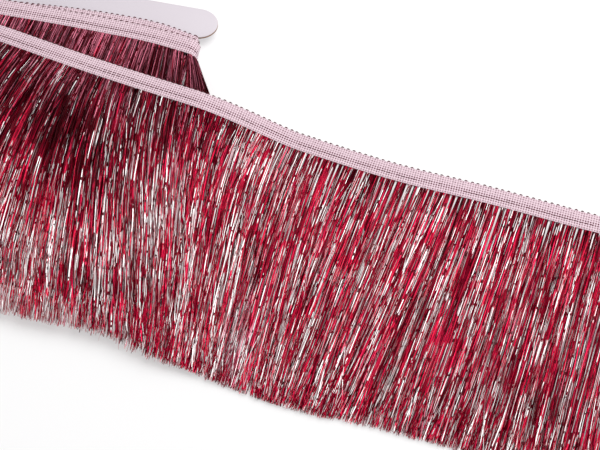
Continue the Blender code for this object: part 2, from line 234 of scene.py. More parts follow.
class Route:
    """A line through space with an outward direction at each point, read by its own length."""

    def __init__(self):
        self.points = np.empty((0, 3))
        self.outward = np.empty((0, 3))
        self.stretches = {}

    def add(self, name, points, outward):
        first = len(self.points)
        self.points = np.vstack([self.points, points])
        self.outward = np.vstack([self.outward, np.broadcast_to(outward, points.shape)])
        self.stretches[name] = (first, len(self.points) - 1)

    def finish(self):
        steps = np.linalg.norm(np.diff(self.points, axis=0), axis=1)
        self.length = np.concatenate([[0], np.cumsum(steps)])
        self.width = unit(np.cross(self.outward, np.gradient(self.points, axis=0)))

    def span(self, name):
        first, last = self.stretches[name]
        return self.length[first], self.length[last]

    def read(self, values, lengths):
        return np.stack([np.interp(lengths, self.length, c) for c in values.T], axis=-1)

    def at(self, lengths):
        """Point, width direction, outward direction and forward direction at each length."""
        width = unit(self.read(self.width, lengths))
        forward = unit(np.cross(width, self.read(self.outward, lengths)))
        return self.read(self.points, lengths), width, np.cross(forward, width), forward


def across_front(start, height, name):
    """One turn across the front of the card, left to right."""
    along = np.arange(start, WAIST_HALF_WIDTH, FINE_STEP)
    knots = column(TURNS, TURN_COLUMNS, "along")
    up = smooth_curve(knots, column(TURNS, TURN_COLUMNS, name), along)
    return on_card(along, up, height)


def across_back(height, right_up, left_up):
    """One turn across the back of the card, right to left."""
    along = np.arange(WAIST_HALF_WIDTH, -WAIST_HALF_WIDTH, -FINE_STEP)
    share = (WAIST_HALF_WIDTH - along) / (2 * WAIST_HALF_WIDTH)
    return on_card(along, right_up + share * (left_up - right_up), height)


def round_edge(side, start_height, end_height, start_up, end_up):
    """A half round about one edge of the card's waist. Side is 1 at the right and -1 at the left."""
    angle = np.linspace(0, math.pi, FOLD_STEPS + 1)[1:-1]
    up = start_up + (end_up - start_up) * angle / math.pi
    radius = (start_height - end_height) / 2
    middle = (start_height + end_height) / 2
    along = side * (WAIST_HALF_WIDTH + abs(radius) * np.sin(angle))
    outward = on_card(side * np.sin(angle), 0.0, np.sign(radius) * np.cos(angle))
    return on_card(along, up, middle + radius * np.cos(angle)), outward


def loose_run():
    """The heading of the loose run, from the card's left-hand edge to its cut end."""
    start = on_card(-WAIST_HALF_WIDTH, RUN_START_UP, 0.0)
    knots = np.concatenate([[start[0]], column(RUN, RUN_COLUMNS, "x")])
    across = np.concatenate([[start[1]], column(RUN, RUN_COLUMNS, "y")])
    x = np.arange(knots[0], knots[-1] + FINE_STEP / 2, FINE_STEP)
    points = np.stack([x, smooth_curve(knots, across, x), np.zeros_like(x)], axis=-1)
    points[:, 2] = run_underside(points) + TAPE_THICKNESS / 2
    return points


def trim_route():
    """The middle of the heading tape from its hidden inner end to the cut end of the loose run."""
    inner = column(TURNS, TURN_COLUMNS, "inner_turn")
    outer = column(TURNS, TURN_COLUMNS, "outer_turn")
    inner_back = inner[-1] - FOLD_SLIP
    outer_back = outer[-1] - FOLD_SLIP
    run = loose_run()
    last_fold = round_edge(-1, BACK_OUTER, run[0, 2], RUN_START_UP, RUN_START_UP)
    line = Route()
    line.add("inner_front", across_front(INNER_END_ALONG, FRONT_INNER, "inner_turn"), FACE_UP)
    line.add("inner_right_fold", *round_edge(1, FRONT_INNER, BACK_INNER, inner[-1], inner_back))
    line.add("inner_back", across_back(BACK_INNER, inner_back, outer[0]), -FACE_UP)
    line.add("inner_left_fold", *round_edge(-1, BACK_INNER, FRONT_OUTER, outer[0], outer[0]))
    line.add("outer_front", across_front(-WAIST_HALF_WIDTH, FRONT_OUTER, "outer_turn"), FACE_UP)
    line.add("outer_right_fold", *round_edge(1, FRONT_OUTER, BACK_OUTER, outer[-1], outer_back))
    line.add("outer_back", across_back(BACK_OUTER, outer_back, RUN_START_UP), -FACE_UP)
    line.add("outer_left_fold", *last_fold)
    line.add("run", run, FACE_UP)
    line.finish()
    return line


route = trim_route()
TRIM_LENGTH = route.length[-1]
print(f"the trim is {TRIM_LENGTH:.3f} m long")

# %% [markdown]
# ## The camera
#
# The camera looks down from 64 degrees up and 18 degrees to the right of straight on, as the
# photographer did. It comes first so that every later render is seen the same way.

# %% Camera
CAMERA_AZIMUTH = math.radians(18)
CAMERA_ELEVATION = math.radians(64)
CAMERA_LENS = 66
CAMERA_DISTANCE = 0.5946
CAMERA_AIM = np.array([173 * MM, -9.6 * MM, 0.0])


def add_object(name, data):
    """A new object in the scene that holds this mesh, camera or lamp."""
    thing = bpy.data.objects.new(name, data)
    bpy.context.scene.collection.objects.link(thing)
    return thing


level = math.cos(CAMERA_ELEVATION)
right = Vector((math.cos(CAMERA_AZIMUTH), math.sin(CAMERA_AZIMUTH), 0.0))
back = Vector((right.y * level, -right.x * level, math.sin(CAMERA_ELEVATION)))
aim = Vector(CAMERA_AIM + card_middle)
camera = add_object("camera", bpy.data.cameras.new("camera"))
camera.data.lens = CAMERA_LENS
camera.data.sensor_fit = "HORIZONTAL"
turn = Matrix((right, back.cross(right), back)).transposed().to_4x4()
camera.matrix_world = Matrix.Translation(aim + back * CAMERA_DISTANCE) @ turn
bpy.context.scene.camera = camera
print("camera at", [round(c, 3) for c in camera.matrix_world.translation])

# %% [markdown]
# ## Meshes from arrays
#
# Thousands of strands would be slow to add one by one. Instead their points are worked out together
# as arrays, and each piece becomes one mesh. Numbers that a material needs at each point, such as how
# far down its strand a point is, go along as named attributes.

# %% Mesh helpers
def new_piece(name, points, faces, marks=None):
    """A smooth mesh that rides on the trim's body. Points are measured from the card's middle."""
    mesh = bpy.data.meshes.new(name)
    mesh.vertices.add(len(points))
    mesh.vertices.foreach_set("co", (points + card_middle).astype(np.float32).ravel())
    mesh.loops.add(faces.size)
    mesh.loops.foreach_set("vertex_index", faces.astype(np.int32).ravel())
    mesh.polygons.add(len(faces))
    mesh.polygons.foreach_set("loop_start", np.arange(0, faces.size, faces.shape[1], dtype=np.int32))
    mesh.polygons.foreach_set("use_smooth", np.ones(len(faces), bool))
    mesh.update(calc_edges=True)
    for mark, values in (marks or {}).items():
        attribute = mesh.attributes.new(mark, "FLOAT", "POINT")
        attribute.data.foreach_set("value", np.asarray(values, np.float32).ravel())
    piece = add_object(name, mesh)
    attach(piece, "root")
    return piece


def tell_triangles(piece):
    """Prints how many triangles a piece has once its faces are split."""
    print(piece.name, "has", sum(len(face.vertices) - 2 for face in piece.data.polygons), "triangles")


# %% [markdown]
# ## Shared effects
#
# The effects that more than one finish could use are node groups with named inputs and outputs. One
# breaks a strand into short lengths, each bright or dark. Another gives the slow, soft change of tone
# that cloth, thread and board all show.

# %% Node helpers
def new_group(name, inputs, outputs):
    """An empty shader group with number sockets."""
    group = bpy.data.node_groups.new(name, "ShaderNodeTree")
    for label, value in inputs:
        socket = group.interface.new_socket(label, in_out="INPUT", socket_type="NodeSocketFloat")
        socket.default_value = value
    for label in outputs:
        group.interface.new_socket(label, in_out="OUTPUT", socket_type="NodeSocketFloat")
    return group, group.nodes.new("NodeGroupInput"), group.nodes.new("NodeGroupOutput")


def feed(tree, socket, value):
    """Sets a socket to a number or a colour, or links it to another socket."""
    if isinstance(value, tuple):
        socket.default_value = (*value, 1.0)
    elif isinstance(value, (int, float)):
        socket.default_value = value
    else:
        tree.links.new(value, socket)


def maths(tree, operation, *values, clamp=False):
    """One Math node. A multiply-add takes three values, the others one or two."""
    node = tree.nodes.new("ShaderNodeMath")
    node.operation = operation
    node.use_clamp = clamp
    for socket, value in zip(node.inputs, values):
        feed(tree, socket, value)
    return node.outputs[0]


def mixed(tree, factor, first, second, blend="MIX"):
    """A mix of two colours."""
    node = tree.nodes.new("ShaderNodeMix")
    node.data_type = "RGBA"
    node.blend_type = blend
    for socket, value in zip((node.inputs["Factor"], *node.inputs[6:8]), (factor, first, second)):
        feed(tree, socket, value)
    return node.outputs[2]


def mark(tree, name):
    """A named attribute of the mesh, as a number."""
    node = tree.nodes.new("ShaderNodeAttribute")
    node.attribute_name = name
    return node.outputs["Fac"]


def use_group(tree, group, **values):
    """Places a group, sets its named inputs and gives its outputs."""
    node = tree.nodes.new("ShaderNodeGroup")
    node.node_tree = group
    for label, value in values.items():
        feed(tree, node.inputs[label.capitalize()], value)
    return node.outputs


def new_material(name, roughness, metallic=0.0):
    """A material with its Principled shader, and plain numbers on the shader's own sockets."""
    material = bpy.data.materials.new(name)
    material.use_nodes = True
    shader = material.node_tree.nodes["Principled BSDF"]
    shader.inputs["Roughness"].default_value = roughness
    shader.inputs["Metallic"].default_value = metallic
    return material, material.node_tree, shader


def raise_surface(tree, shader, height, strength, distance):
    """A bump that a height gives to the whole surface."""
    bump = tree.nodes.new("ShaderNodeBump")
    bump.inputs["Strength"].default_value = strength
    bump.inputs["Distance"].default_value = distance
    tree.links.new(height, bump.inputs["Height"])
    tree.links.new(bump.outputs[0], shader.inputs["Normal"])


# %% The group that breaks a strand into lengths
ROWS_OF_NOISE = 613.0
NOISE_LOW = 0.28
NOISE_HIGH = 0.72


def make_broken_lengths():
    """Mask of short lengths along a strand. Share is how much of it they cover, grain their length."""
    inputs = (("Along", 0.0), ("Seed", 0.0), ("Share", 0.2), ("Grain", 2.0), ("Softness", 0.12))
    group, start, end = new_group("broken_lengths", inputs, ("Mask",))
    place = group.nodes.new("ShaderNodeCombineXYZ")
    step = maths(group, "DIVIDE", start.outputs["Along"], start.outputs["Grain"])
    group.links.new(step, place.inputs["X"])
    row = maths(group, "MULTIPLY", start.outputs["Seed"], ROWS_OF_NOISE)
    group.links.new(row, place.inputs["Y"])
    noise = group.nodes.new("ShaderNodeTexNoise")
    noise.noise_dimensions = "2D"
    noise.inputs["Scale"].default_value = 1.0
    noise.inputs["Detail"].default_value = 1.5
    group.links.new(place.outputs[0], noise.inputs["Vector"])
    even = group.nodes.new("ShaderNodeMapRange")
    even.inputs["From Min"].default_value = NOISE_LOW
    even.inputs["From Max"].default_value = NOISE_HIGH
    group.links.new(noise.outputs[0], even.inputs["Value"])
    least = maths(group, "SUBTRACT", 1.0, start.outputs["Share"])
    above = maths(group, "SUBTRACT", even.outputs[0], least)
    mask = maths(group, "DIVIDE", above, start.outputs["Softness"], clamp=True)
    group.links.new(mask, end.inputs["Mask"])
    return group


broken_lengths = make_broken_lengths()


# %% The group that gives a slow change of tone
def make_soft_mottle():
    """Slow change of tone over a surface, from 0 to 1, by the place on the object."""
    group, start, end = new_group("soft_mottle", (("Scale", 60.0), ("Detail", 3.0)), ("Tone",))
    place = group.nodes.new("ShaderNodeTexCoord")
    noise = group.nodes.new("ShaderNodeTexNoise")
    group.links.new(place.outputs["Object"], noise.inputs["Vector"])
    group.links.new(start.outputs["Scale"], noise.inputs["Scale"])
    group.links.new(start.outputs["Detail"], noise.inputs["Detail"])
    group.links.new(noise.outputs[0], end.inputs["Tone"])
    return group


soft_mottle = make_soft_mottle()
print("groups:", [group.name for group in bpy.data.node_groups])

# %% [markdown]
# ## The card
#
# The card is pale board, cut to a bone shape. Its upper flange shows above the trim. The flat faces are
# smooth lilac-grey paper and the cut edge shows the brown core of the board. The solid has a plain
# square edge, so this piece repeats its outline with more points and a softened rim.

# %% The card's outline
FLANGE_END_STEPS = 36


def card_outline():
    """The bone shape, going round anticlockwise from the lower right corner of the upper flange."""
    inner_edge = CARD_HALF_HEIGHT - FLANGE_HEIGHT
    flange_middle = CARD_HALF_HEIGHT - FLANGE_HEIGHT / 2
    angle = np.linspace(-math.pi / 2, math.pi / 2, FLANGE_END_STEPS + 1)
    end_along = FLANGE_HALF_LENGTH - FLANGE_END_LENGTH * (1 - np.cos(angle))
    end_up = flange_middle + FLANGE_HEIGHT / 2 * np.sin(angle)
    corner = np.array([[WAIST_HALF_WIDTH, inner_edge]])
    upper_right = np.vstack([corner, np.stack([end_along, end_up], axis=-1)[1:]])
    back_down = upper_right[::-1]
    return np.vstack([upper_right, back_down * (-1, 1), upper_right * (-1, -1), back_down * (1, -1)])


# %% The card's board
RIM = 0.25 * MM
BEVEL = 0.3 * RIM
SHARP_ANGLE = math.radians(40)


def make_card_board():
    """The board with a rounded rim: rings of the outline, drawn in at the top and bottom."""
    outline = card_outline()
    following = np.roll(outline, -1, axis=0) - outline
    before = outline - np.roll(outline, 1, axis=0)
    tangent = unit(unit(following) + unit(before))
    inward = np.stack([-tangent[:, 1], tangent[:, 0]], axis=-1)
    lower_rim = ((RIM, 0.0), (BEVEL, BEVEL), (0.0, RIM))
    rings = [(inset, CARD_BOTTOM + height) for inset, height in lower_rim]
    rings += [(inset, CARD_BOTTOM + CARD_THICKNESS - height) for inset, height in reversed(lower_rim)]
    points = []
    for inset, height in rings:
        ring = outline + inward * inset
        points.append(on_card(ring[:, 0], ring[:, 1], height))
    count = len(outline)
    faces = [tuple(reversed(range(count)))]
    for low in range(0, (len(rings) - 1) * count, count):
        for i in range(count):
            j = (i + 1) % count
            faces.append((low + i, low + j, low + count + j, low + count + i))
    faces.append(tuple(range((len(rings) - 1) * count, len(rings) * count)))
    mesh = bpy.data.meshes.new("card_board")
    mesh.from_pydata([tuple(p) for p in np.concatenate(points) + card_middle], [], faces)
    mesh.shade_smooth()
    mesh.set_sharp_from_angle(angle=SHARP_ANGLE)
    board = add_object("card_board", mesh)
    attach(board, "root")
    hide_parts("winding_card")
    return board


card_board = make_card_board()
tell_triangles(card_board)

# %% [markdown]
# The paper's colour is nearly even. A soft mottle keeps it from looking like plastic, and a much finer
# one is the tooth of the paper. Where the surface faces sideways it is the cut edge, so a mask from the
# surface's own direction brings in the brown core there.

# %% The card's material
PAPER_PALE = (0.61, 0.56, 0.605)
PAPER_SHADE = (0.56, 0.51, 0.555)
CORE_BROWN = (0.30, 0.17, 0.11)
PAPER_ROUGHNESS = 0.55


def make_paper():
    material, tree, shader = new_material("card_paper", PAPER_ROUGHNESS)
    slow = use_group(tree, soft_mottle, scale=25.0, detail=2.0)
    face = mixed(tree, slow["Tone"], PAPER_SHADE, PAPER_PALE)
    geometry = tree.nodes.new("ShaderNodeNewGeometry")
    split = tree.nodes.new("ShaderNodeSeparateXYZ")
    tree.links.new(geometry.outputs["True Normal"], split.inputs[0])
    edge = maths(tree, "LESS_THAN", maths(tree, "ABSOLUTE", split.outputs["Z"]), 0.5)
    tree.links.new(mixed(tree, edge, face, CORE_BROWN), shader.inputs["Base Color"])
    tooth = use_group(tree, soft_mottle, scale=2200.0, detail=2.0)
    raise_surface(tree, shader, tooth["Tone"], strength=0.12, distance=0.1 * MM)
    return material


card_board.data.materials.append(make_paper())

# %% [markdown]
# ## The heading tape
#
# The heading is a narrow woven tape, pale pink, about a millimetre thick. It is swept along the line
# of the trim: many cross-sections, each a flat loop with rounded edges. Fine ribs run across it,
# and both of its edges waver a little, as a woven edge does where each pass of yarn turns back.

# %% The tape's cloth
TAPE_STEP = 0.6 * MM
TAPE_COLUMNS = 12
EDGE_CROWDING = 1.25
RIB_PITCH = 3.0 * MM
RIB_RISE = 0.07 * MM
EDGE_WAVER = 0.14 * MM
EDGE_ROUND = 0.35 * MM
PICOT_PITCH = 3.4 * MM


def tape_places():
    """Where along the trim the tape has a section: evenly, and closer together round the folds."""
    places = [np.arange(0, TRIM_LENGTH, TAPE_STEP), [TRIM_LENGTH]]
    for name in route.stretches:
        if name.endswith("fold"):
            places.append(np.linspace(*route.span(name), FOLD_STEPS + 1))
    return np.unique(np.round(np.concatenate(places), 5))


def tape_rings(places):
    """The tape's cross-sections as closed rings, and how far across the tape each point is."""
    point, width, outward, _ = route.at(places)
    across = np.linspace(-1, 1, TAPE_COLUMNS + 1)
    across = np.sign(across) * (1 - (1 - np.abs(across)) ** EDGE_CROWDING)
    half = TAPE_WIDTH / 2 + EDGE_WAVER * np.sin(2 * math.pi * places / PICOT_PITCH)[:, None] - EDGE_WAVER
    reach = half * across
    ribs = RIB_RISE * np.cos(2 * math.pi * places / RIB_PITCH)[:, None] * (1 - across**8)
    from_edge = half - np.abs(reach)
    rounding = np.sqrt(np.clip(1 - (1 - from_edge / EDGE_ROUND).clip(0, 1) ** 2, 0.0, 1.0))
    rise = (TAPE_THICKNESS / 2 - RIB_RISE) * rounding + ribs * rounding
    upper = point[:, None] + width[:, None] * reach[..., None] + outward[:, None] * rise[..., None]
    lower = point[:, None] + width[:, None] * reach[..., None] - outward[:, None] * rise[..., None]
    ring = np.concatenate([upper, lower[:, -2:0:-1]], axis=1)
    return ring, np.concatenate([reach, reach[:, -2:0:-1]], axis=1)


def tape_faces(rows, count):
    """Faces between neighbouring rings, and the flat caps that close the two cut ends."""
    base = np.arange(rows - 1)[:, None] * count
    first = base + np.arange(count)
    second = base + np.roll(np.arange(count), -1)
    faces = np.stack([first, first + count, second + count, second], axis=-1).reshape(-1, 4)
    caps = []
    for base, order in ((0, 1), ((rows - 1) * count, -1)):
        for i in range(TAPE_COLUMNS):
            quad = [base + i, base + i + 1, base + (count - i - 1) % count, base + (count - i) % count]
            if len(set(quad)) == 4:
                caps.append(quad[::order])
    return np.vstack([faces, caps])


def make_heading_cloth():
    """The woven tape, swept along the trim as a closed band with ribs and wavering edges."""
    places = tape_places()
    ring, across = tape_rings(places)
    along = np.broadcast_to(places[:, None], across.shape)
    marks = {"along_mm": along / MM, "across_mm": across / MM}
    return new_piece("heading_cloth", ring.reshape(-1, 3), tape_faces(*across.shape), marks)


heading_cloth = make_heading_cloth()
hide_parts("heading_tape")
tell_triangles(heading_cloth)

# %% [markdown]
# The weave itself is far too fine to model. A group turns the place on the tape into crossing threads:
# one wave along the tape and one across it, whose sum is low where four threads leave a gap. Its height
# goes to the bump, and its gaps darken the colour, which are the mauve specks in the real tape. Along
# the seam where the strands are sewn on, the gaps are wider and darker.

# %% The tape's material
TAPE_PINK = (0.69, 0.51, 0.58)
TAPE_SPECK = (0.12, 0.03, 0.05)
TAPE_WARM = (0.75, 0.58, 0.64)
TAPE_ROUGHNESS = 0.8
TAPE_SHEEN = 0.25
THREAD_PITCH = 1.4
OPEN_WEAVE = 0.46
GAP_SHARPNESS = 8.0
SEAM_ACROSS = -1.0
SEAM_HALF_WIDTH = 2.0
SEAM_OPENING = 0.06
SPECK_STRENGTH = 1.3


def make_weave():
    """Crossing threads of the weave. Places are in millimetres, and Open is how wide the gaps are."""
    inputs = (("Along", 0.0), ("Across", 0.0), ("Pitch", 1.0), ("Open", 0.3))
    group, start, end = new_group("weave", inputs, ("Height", "Gap"))
    rate = maths(group, "DIVIDE", 2 * math.pi, start.outputs["Pitch"])
    phases = [maths(group, "MULTIPLY", start.outputs[way], rate) for way in ("Along", "Across")]
    together = maths(group, "ADD", *(maths(group, "COSINE", phase) for phase in phases))
    height = maths(group, "MULTIPLY_ADD", together, -0.25, 0.5)
    gap = maths(group, "SUBTRACT", start.outputs["Open"], height)
    group.links.new(height, end.inputs["Height"])
    group.links.new(maths(group, "MULTIPLY", gap, GAP_SHARPNESS, clamp=True), end.inputs["Gap"])
    return group


weave = make_weave()


def make_woven_heading():
    material, tree, shader = new_material("woven_heading", TAPE_ROUGHNESS)
    shader.inputs["Sheen Weight"].default_value = TAPE_SHEEN
    along, across = mark(tree, "along_mm"), mark(tree, "across_mm")
    off_seam = maths(tree, "ABSOLUTE", maths(tree, "SUBTRACT", across, SEAM_ACROSS))
    seam = maths(tree, "SUBTRACT", 1.0, maths(tree, "DIVIDE", off_seam, SEAM_HALF_WIDTH), clamp=True)
    openness = maths(tree, "MULTIPLY_ADD", seam, SEAM_OPENING, OPEN_WEAVE)
    threads = use_group(tree, weave, along=along, across=across, pitch=THREAD_PITCH, open=openness)
    slow = use_group(tree, soft_mottle, scale=40.0, detail=3.0)
    ground = mixed(tree, slow["Tone"], TAPE_PINK, TAPE_WARM)
    worn = use_group(tree, soft_mottle, scale=700.0, detail=2.0)
    uneven = maths(tree, "MULTIPLY", maths(tree, "ADD", worn["Tone"], seam), SPECK_STRENGTH, clamp=True)
    speck = maths(tree, "MULTIPLY", threads["Gap"], uneven)
    tree.links.new(mixed(tree, speck, ground, TAPE_SPECK), shader.inputs["Base Color"])
    raise_surface(tree, shader, threads["Height"], strength=0.5, distance=0.3 * MM)
    return material


heading_cloth.data.materials.append(make_woven_heading())

# %% [markdown]
# ## Stitches and edge loops
#
# Dark red thread holds the strands to the heading. It shows as thin dashes along the lower half of the
# tape and as small loops, called picots, along its upper edge. Each is a short bent rod, and the rods
# of a row are worked out together.

# %% Rods along the trim
ROD_SIDES = 5
FLOOR_CLEARANCE = 0.05 * MM


def rods(lines, radius, side_ways):
    """Points and faces of many bent rods. lines is rods by steps by three."""
    count, steps = lines.shape[:2]
    forward = unit(np.gradient(lines, axis=1))
    side = unit(side_ways - forward * np.sum(side_ways * forward, axis=-1, keepdims=True))
    other = np.cross(forward, side)
    angle = np.linspace(0, 2 * math.pi, ROD_SIDES, endpoint=False)
    ring = side[:, :, None] * np.cos(angle)[:, None] + other[:, :, None] * np.sin(angle)[:, None]
    points = lines[:, :, None] + ring * radius[:, :, None, None]
    points[..., 2] = np.maximum(points[..., 2], FLOOR_CLEARANCE)
    base = (np.arange(count)[:, None, None] * steps + np.arange(steps - 1)[None, :, None]) * ROD_SIDES
    here = base + np.arange(ROD_SIDES)
    beside = base + (np.arange(ROD_SIDES) + 1) % ROD_SIDES
    faces = np.stack([here, beside, beside + ROD_SIDES, here + ROD_SIDES], axis=-1)
    return points.reshape(-1, 3), faces.reshape(-1, 4)


# %% Edge loops
PICOT_LENGTH = 1.4 * MM
PICOT_RISE = 0.5 * MM
PICOT_RISE_SPREAD = (0.7, 1.15)
PICOT_RADIUS = 0.34 * MM
PICOT_STRAY = 0.12 * MM
PICOT_TUCK = 0.25 * MM
PICOT_LIFT = 0.15 * MM
PICOT_STEPS = 7


def make_edge_loops():
    """Small thread loops along the upper edge of the tape, one at each turn of the yarn."""
    draw = np.random.default_rng(21)
    places = np.arange(PICOT_PITCH, TRIM_LENGTH - PICOT_PITCH, PICOT_PITCH)
    places = places + draw.normal(0, PICOT_STRAY, len(places))
    angle = np.linspace(0, math.pi, PICOT_STEPS)
    point, width, outward, _ = route.at(places[:, None] - np.cos(angle) * PICOT_LENGTH / 2)
    rise = PICOT_RISE * draw.uniform(*PICOT_RISE_SPREAD, len(places))[:, None] * np.sin(angle)
    lines = point + width * (TAPE_WIDTH / 2 - PICOT_TUCK + rise)[..., None]
    lines = lines + outward * (PICOT_LIFT * np.sin(2 * angle))[..., None]
    radius = np.broadcast_to(PICOT_RADIUS * (0.75 + 0.25 * np.sin(angle)), lines.shape[:2])
    return new_piece("edge_loops", *rods(lines, radius, outward))


edge_loops = make_edge_loops()
tell_triangles(edge_loops)

# %% Stitch rows
STITCH_PITCH = 2.9 * MM
STITCH_LENGTH = 2.6 * MM
STITCH_RADIUS = 0.27 * MM
STITCH_STRAY = 0.08 * MM
STITCH_DEPTH = 0.02 * MM
STITCH_SINK = 0.16 * MM
STITCH_STEPS = 5
STITCH_WAVES = (17 * MM, 7.3 * MM)

# Each row: how far across the tape it runs, how much of it shows, on which face, and its thickness
STITCH_COLUMNS = ("across", "share", "face", "thickness")
STITCH_ROWS = (
    (-1.32 * MM, 0.60, 1, 0.9),
    (0.0 * MM, 0.22, 1, 0.7),
    (-1.32 * MM, 0.62, -1, 1.0),
)


def stitch_row(draw, across, share, face, thickness):
    """One row of thin dashes. Some lengths of the row sink out of sight."""
    places = np.arange(2 * MM, TRIM_LENGTH - 3 * MM, STITCH_PITCH)
    waves = sum(np.sin(places / wave + draw.uniform(0, 6)) for wave in STITCH_WAVES)
    places = places[waves / 4 + 0.5 + draw.normal(0, 0.12, len(places)) < share]
    steps = np.linspace(-0.5, 0.5, STITCH_STEPS)
    from_middle = 2 * np.abs(steps)
    point, width, outward, _ = route.at(places[:, None] + steps * STITCH_LENGTH)
    height = face * (TAPE_THICKNESS / 2 - STITCH_DEPTH - STITCH_SINK * from_middle**2)
    sideways = across + draw.normal(0, STITCH_STRAY, len(places))[:, None] + 0 * steps
    lines = point + width * sideways[..., None] + outward * height[..., None]
    radius = STITCH_RADIUS * thickness * (1 - 0.5 * from_middle**3)
    return rods(lines, np.broadcast_to(radius, lines.shape[:2]), outward)


def make_stitches():
    """The rows of stitches on both faces of the tape, as one piece."""
    draw = np.random.default_rng(22)
    all_points = np.empty((0, 3))
    all_faces = np.empty((0, 4), int)
    for row in STITCH_ROWS:
        points, faces = stitch_row(draw, **dict(zip(STITCH_COLUMNS, row)))
        all_faces = np.vstack([all_faces, faces + len(all_points)])
        all_points = np.vstack([all_points, points])
    return new_piece("stitches", all_points, all_faces)


stitches = make_stitches()
tell_triangles(stitches)

# %% The thread's material
THREAD_DARK = (0.03, 0.004, 0.009)
THREAD_RED = (0.15, 0.01, 0.025)
THREAD_ROUGHNESS = 0.6


def make_thread():
    material, tree, shader = new_material("stitch_thread", THREAD_ROUGHNESS)
    tone = use_group(tree, soft_mottle, scale=320.0, detail=2.0)
    tree.links.new(mixed(tree, tone["Tone"], THREAD_DARK, THREAD_RED), shader.inputs["Base Color"])
    return material


thread = make_thread()
for piece in (edge_loops, stitches):
    piece.data.materials.append(thread)

# %% [markdown]
# ## Foil strands
#
# Each strand is a ribbon of metal foil about a third of a millimetre wide, so thin that it has no
# thickness to model. It is a row of flat faces that slowly twists. The twist is what makes real foil
# sparkle: each part of the ribbon catches the light in turn. A strand has a width, a twist, a slight
# bend and a layer in the pile, all drawn from a seeded source, so that every run gives the same fringe.

# %% Ribbons from centre lines
def ribbons(name, lines, half_width, twist, face_up, marks):
    """One mesh of twisted ribbons. lines is strands by steps by three."""
    count, steps = lines.shape[:2]
    forward = unit(np.gradient(lines, axis=1))
    sideways = unit(np.cross(forward, face_up))
    normal = np.cross(sideways, forward)
    across = sideways * np.cos(twist)[..., None] + normal * np.sin(twist)[..., None]
    offset = across * half_width[..., None]
    sides = np.stack([lines - offset, lines + offset], axis=2)
    sides[..., 2] += np.maximum(0, FLOOR_CLEARANCE - sides[..., 2].min(axis=2))[..., None]
    first = (np.arange(count)[:, None] * steps + np.arange(steps - 1)) * 2
    faces = np.stack([first, first + 1, first + 3, first + 2], axis=-1).reshape(-1, 4)
    doubled = {key: np.repeat(np.broadcast_to(value, (count, steps)), 2) for key, value in marks.items()}
    return new_piece(name, sides.reshape(-1, 3), faces, doubled)


# %% [markdown]
# The fringe isn't one even colour. Below the heading at the left the strands turn away from the light
# and look nearly black, and where they slide down the shoulder of the card they flash. That light and
# shade is painted into the foil's colour by soft patches on the plan of the trim. Painted shade deepens
# its red and thins its white glints, painted glints add more white streaks, and a shade patch with a
# negative amount paints light.

# %% Painted shade and painted glint patches on the fringe, in millimetres and degrees
PATCH_COLUMNS = ("x", "y", "reach_along", "reach_across", "degrees", "amount")
# Painted shade on the fringe; a negative amount paints light
PAINTED_SHADE_PATCHES = (
    (40, 2, 48, 30, -20, 0.85),
    (-30, 25, 55, 30, -10, 0.7),
    (145, 24, 32, 14, -10, -0.35),
    (90, 22, 25, 12, -10, 0.55),
    (82, -84, 20, 10, -15, 0.45),
    (92, -22, 46, 16, -40, -0.25),
    (52, -74, 50, 24, -10, -0.65),
    (50, -100, 40, 10, -10, -0.45),
    (165, -84, 34, 24, -10, -0.35),
)
# Painted glints: more white streaks, or fewer where the amount is negative
PAINTED_GLINT_PATCHES = (
    (40, 2, 48, 30, -20, -0.07),
    (60, -102, 50, 13, -10, -0.08),
    (145, 24, 32, 14, -10, 0.08),
    (165, -84, 34, 24, -10, 0.06),
    (92, -22, 46, 16, -40, 0.18),
    (93, -58, 9, 20, 0, 0.22),
    (40, -66, 34, 14, -10, 0.1),
    (69, -101, 9, 7, -10, 0.16),
    (101, -98, 9, 7, -10, 0.16),
)
ROSE_PATCHES = ((162, -84, 6, 22, 12, 0.75), (62, -102, 40, 9, -10, 0.25))


def soft_patches(points, rows):
    """Sum of soft oval patches at each point of the plan."""
    total = np.zeros(points.shape[:-1])
    for row in rows:
        patch = dict(zip(PATCH_COLUMNS, row))
        cosine = math.cos(math.radians(patch["degrees"]))
        sine = math.sin(math.radians(patch["degrees"]))
        dx = points[..., 0] / MM - patch["x"]
        dy = points[..., 1] / MM - patch["y"]
        along = (dx * cosine + dy * sine) / patch["reach_along"]
        across = (dy * cosine - dx * sine) / patch["reach_across"]
        total += patch["amount"] * np.exp(-(along**2) - across**2)
    return total


# %% Shared draws for a set of strands
STRAND_WIDTH = 0.36 * MM
WIDTH_SPREAD = 0.25
WIDTH_LIMITS = (0.22 * MM, 0.7 * MM)
TIP_NARROWING = 0.35
SLOW_TWIST = 0.16
WOBBLE_TWIST = 0.05
FACING_SPREAD = 0.7
TOP_JITTER = 0.35
TOP_LAYERS = (0.86, 1.04)
FILL_LAYERS = (0.0, 0.78)
TONE_CYCLE = 4.6
TONE_JITTER = 0.7
# How much painted shade and how many painted glints the turns of the tones add
PAINTED_SHADE_TURN = 0.5
PAINTED_GLINT_TURN = 0.18
ROOT_TUCK = 0.4 * MM


